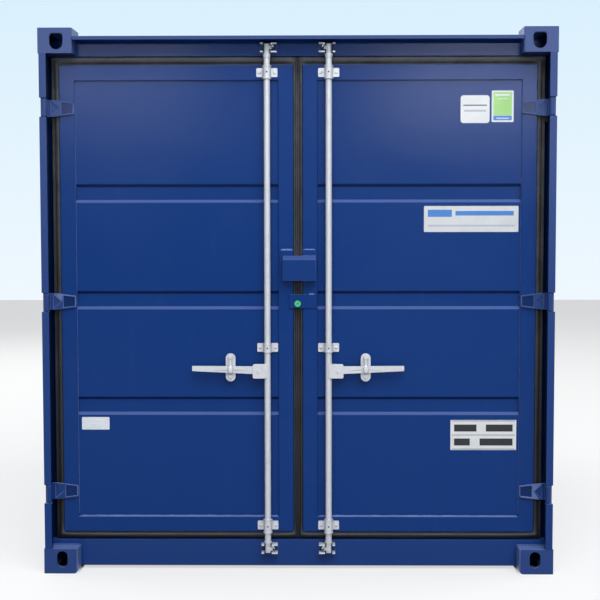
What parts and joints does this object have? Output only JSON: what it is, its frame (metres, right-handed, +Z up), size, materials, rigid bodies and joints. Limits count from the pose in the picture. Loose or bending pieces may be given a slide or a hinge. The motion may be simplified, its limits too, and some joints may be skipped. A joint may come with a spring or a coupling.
{
  "type": "storage container",
  "caption": "Steel storage container with corner castings, fork pockets and a pair of hinged end doors with locking bars, handles and a lock box.",
  "frame": {"origin": "on the ground at the middle of the footprint", "axes": "+Z up, +Y from the door end into the container along its length, +X to the right of someone facing the doors"},
  "size_m": [2.438, 2.991, 2.591],
  "materials": {
    "paint": "satin",
    "galvanised": "satin",
    "gasket": "matte",
    "plywood": "matte",
    "plug": "satin"
  },
  "bodies": {
    "box": {"bottom_castings": "paint", "top_castings": "paint", "left_front_post": "paint", "right_front_post": "paint", "rear_posts": "paint", "hinge_pins": "paint", "door_header": "paint", "door_sill": "paint", "rear_top_rail": "paint", "rear_bottom_rail": "paint", "top_side_rails": "paint", "bottom_side_rails": "paint", "fork_pockets": "paint", "cross_members": "paint", "left_side_wall": "paint", "right_side_wall": "paint", "rear_wall": "paint", "roof_panel": "paint", "floor": "plywood", "cam_keepers": "galvanised"},
    "left_door": {"left_door_frame": "paint", "left_door_panel": "paint", "left_door_gasket": "gasket", "left_hinge_leaves": "paint", "left_bar_guides": "galvanised", "left_handle_posts": "galvanised", "left_lock_bracket": "paint"},
    "right_door": {"right_door_frame": "paint", "right_door_panel": "paint", "right_door_gasket": "gasket", "right_hinge_leaves": "paint", "right_bar_guides": "galvanised", "right_handle_posts": "galvanised", "right_lock_box": "paint", "right_overlap_plate": "paint", "right_seal_plug": "plug"},
    "left_bar": {"left_lock_bar": "galvanised", "left_cams": "galvanised"},
    "right_bar": {"right_lock_bar": "galvanised", "right_cams": "galvanised"},
    "left_lever": {"left_handle": "galvanised"},
    "right_lever": {"right_handle": "galvanised"},
    "left_catch": {"left_handle_catch": "galvanised"},
    "right_catch": {"right_handle_catch": "galvanised"}
  },
  "joints": [
    {"name": "left_door_hinge", "type": "hinge", "parent": "box", "child": "left_door", "pos_m": [-1.192, -1.4825, 1.3], "axis": [0, 0, 1], "range_deg": [-270, 0]},
    {"name": "right_door_hinge", "type": "hinge", "parent": "box", "child": "right_door", "pos_m": [1.192, -1.4825, 1.3], "axis": [0, 0, -1], "range_deg": [-270, 0]},
    {"name": "left_bar_turn", "type": "hinge", "parent": "left_door", "child": "left_bar", "pos_m": [-0.1465, -1.4315, 1.3], "axis": [0, 0, 1], "range_deg": [0, 95]},
    {"name": "right_bar_turn", "type": "hinge", "parent": "right_door", "child": "right_bar", "pos_m": [0.1465, -1.4315, 1.3], "axis": [0, 0, -1], "range_deg": [0, 95]},
    {"name": "left_handle_lift", "type": "hinge", "parent": "left_bar", "child": "left_lever", "pos_m": [-0.19, -1.4385, 0.969], "axis": [0, 1, 0], "range_deg": [0, 12]},
    {"name": "right_handle_lift", "type": "hinge", "parent": "right_bar", "child": "right_lever", "pos_m": [0.19, -1.4385, 0.969], "axis": [0, -1, 0], "range_deg": [0, 12]},
    {"name": "left_catch_turn", "type": "hinge", "parent": "left_door", "child": "left_catch", "pos_m": [-0.3237, -1.452, 1.038], "axis": [0, 1, 0], "range_deg": [0, 90]},
    {"name": "right_catch_turn", "type": "hinge", "parent": "right_door", "child": "right_catch", "pos_m": [0.3237, -1.452, 1.038], "axis": [0, -1, 0], "range_deg": [0, 90]}
  ]
}
